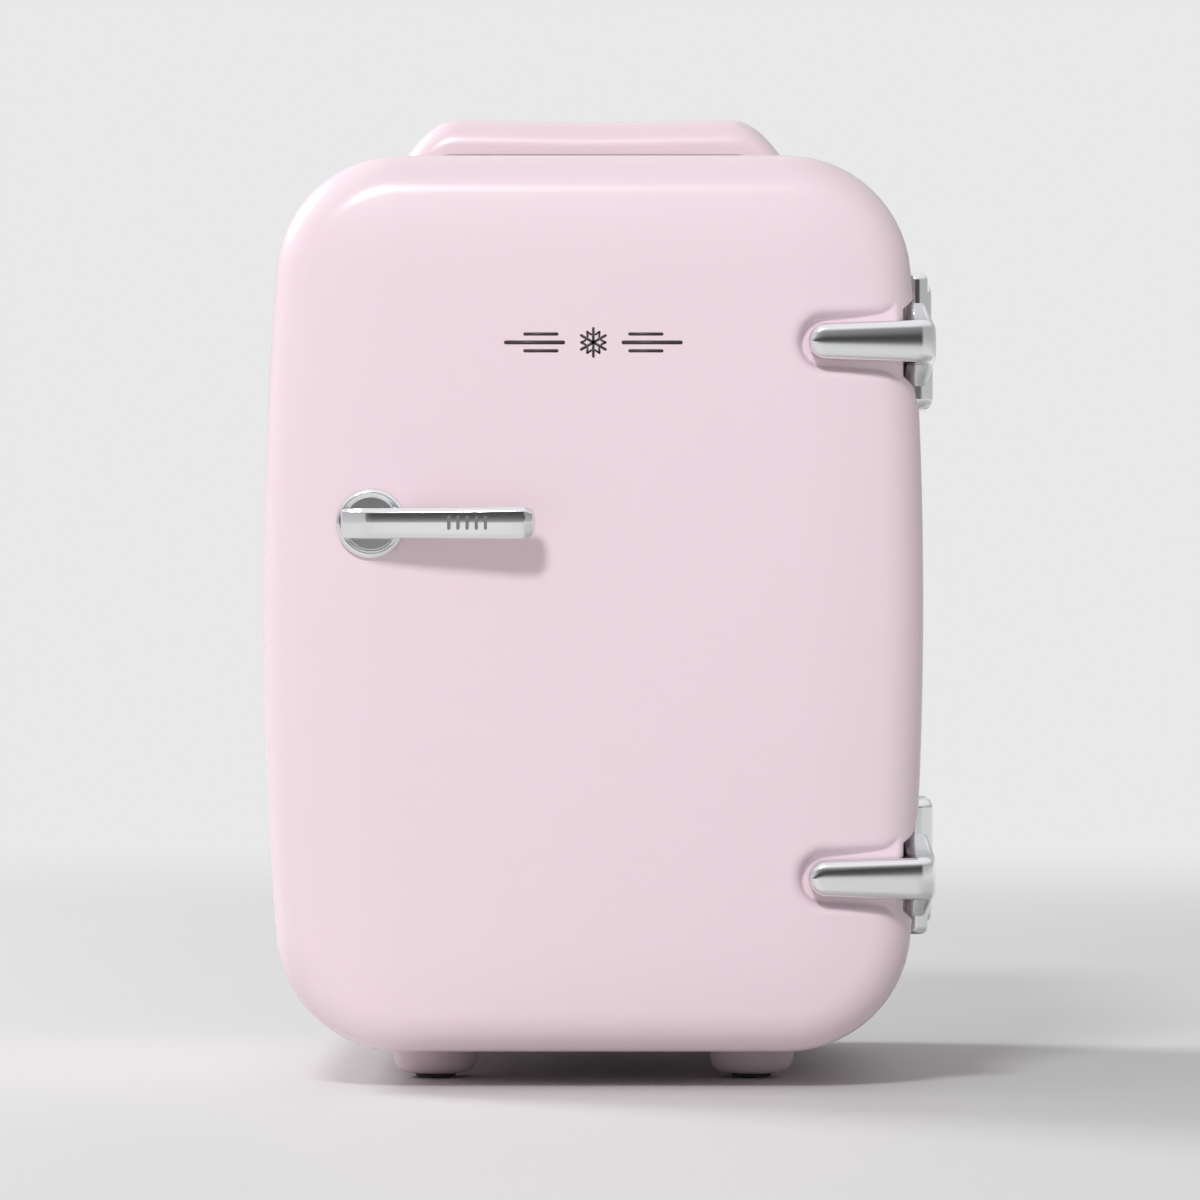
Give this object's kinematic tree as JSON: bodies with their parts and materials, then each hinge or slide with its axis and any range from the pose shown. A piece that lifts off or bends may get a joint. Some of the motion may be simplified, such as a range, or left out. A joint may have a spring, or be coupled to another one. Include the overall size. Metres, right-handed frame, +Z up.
{
  "type": "mini fridge",
  "caption": "Small retro thermoelectric fridge with a crowned door on strap hinges, a pull lever, a carry handle, a shelf, a door basket and a fan-cooled rear unit.",
  "frame": {"origin": "on the floor, under the middle of the whole fridge", "axes": "+X to the hinge side, -Y to the door, +Y to the rear panel, +Z up"},
  "size_m": [0.194, 0.2578, 0.287],
  "materials": {
    "pink_plastic": "smooth gloss moulding",
    "white_plastic": "smooth satin moulding",
    "clear_basket": "frosted satin moulding",
    "foam": "open cut foam",
    "gasket": "soft white vinyl",
    "pad_rubber": "matt black",
    "chrome_trim": "bright plated",
    "steel": "zinc plated",
    "aluminium": "milled and anodised",
    "ceramic": "white ceramic faces",
    "black_plastic": "fine grained",
    "switch_plastic": "satin",
    "board": "lacquered glass fibre",
    "winding": "taped winding",
    "sleeve": "shrunk sleeve",
    "magnet": "flexible magnet strip",
    "contact": "plated",
    "blue_lens": "clear lens",
    "red_lens": "clear lens"
  },
  "bodies": {
    "cabinet": {"cabinet_shell": "pink_plastic", "cabinet_liner": "white_plastic", "cabinet_foam": "foam", "strike_plates": "steel", "handle_grip": "pink_plastic", "handle_underside": "pink_plastic", "handle_screws": "steel", "feet": "pink_plastic", "foot_pads": "pad_rubber", "foot_screws": "steel", "hinge_leaf_upper": "chrome_trim", "hinge_leaf_lower": "chrome_trim", "hinge_leaf_screws": "steel", "hinge_pins": "steel", "cold_plate": "aluminium", "cold_plate_screws": "steel", "cold_block": "aluminium", "peltier_module": "ceramic", "heat_sink": "aluminium", "clamp_screws": "steel", "fan_frame": "black_plastic", "fan_screws": "steel", "rear_panel": "pink_plastic", "rear_panel_screws": "steel", "power_board": "board", "transformer": "winding", "capacitors": "sleeve", "board_screws": "steel", "ac_inlet": "black_plastic", "ac_pins": "steel", "dc_inlet": "black_plastic", "dc_contacts": "contact", "switch_housing": "black_plastic", "cold_indicator": "blue_lens", "hot_indicator": "red_lens"},
    "door": {"door_skin": "pink_plastic", "door_liner": "white_plastic", "door_foam": "foam", "door_gasket": "gasket", "door_magnets": "magnet", "hinge_strap_upper": "chrome_trim", "hinge_strap_lower": "chrome_trim", "hinge_strap_screws": "steel", "handle_rosette": "chrome_trim", "pull_lever": "chrome_trim", "pull_screws": "steel"},
    "basket": {"door_basket": "clear_basket"},
    "shelf": {"shelf": "white_plastic"},
    "fan": {"fan_rotor": "black_plastic"},
    "switch": {"switch_rocker": "switch_plastic"}
  },
  "joints": [
    {"name": "door_hinge", "type": "hinge", "parent": "cabinet", "child": "door", "pos_m": [0.094, -0.0699, 0.1395], "axis": [0, 0, 1], "range_deg": [0, 120]},
    {"name": "basket_lift", "type": "slide", "parent": "door", "child": "basket", "axis": [0, 0, 1], "range_m": [0, 0.025]},
    {"name": "shelf_slide", "type": "slide", "parent": "cabinet", "child": "shelf", "axis": [0, -1, 0], "range_m": [0, 0.074]},
    {"name": "fan_spin", "type": "hinge", "parent": "cabinet", "child": "fan", "pos_m": [0, 0.115, 0.1545], "axis": [0, 1, 0], "continuous": true},
    {"name": "mode_switch_rock", "type": "hinge", "parent": "cabinet", "child": "switch", "pos_m": [-0.048, 0.1231, 0.1115], "axis": [1, 0, 0], "range_deg": [-10, 10]}
  ],
  "couplings": [
    {"joint": "shelf_slide", "follows": "door_hinge", "m_per_rad": 0.035}
  ]
}
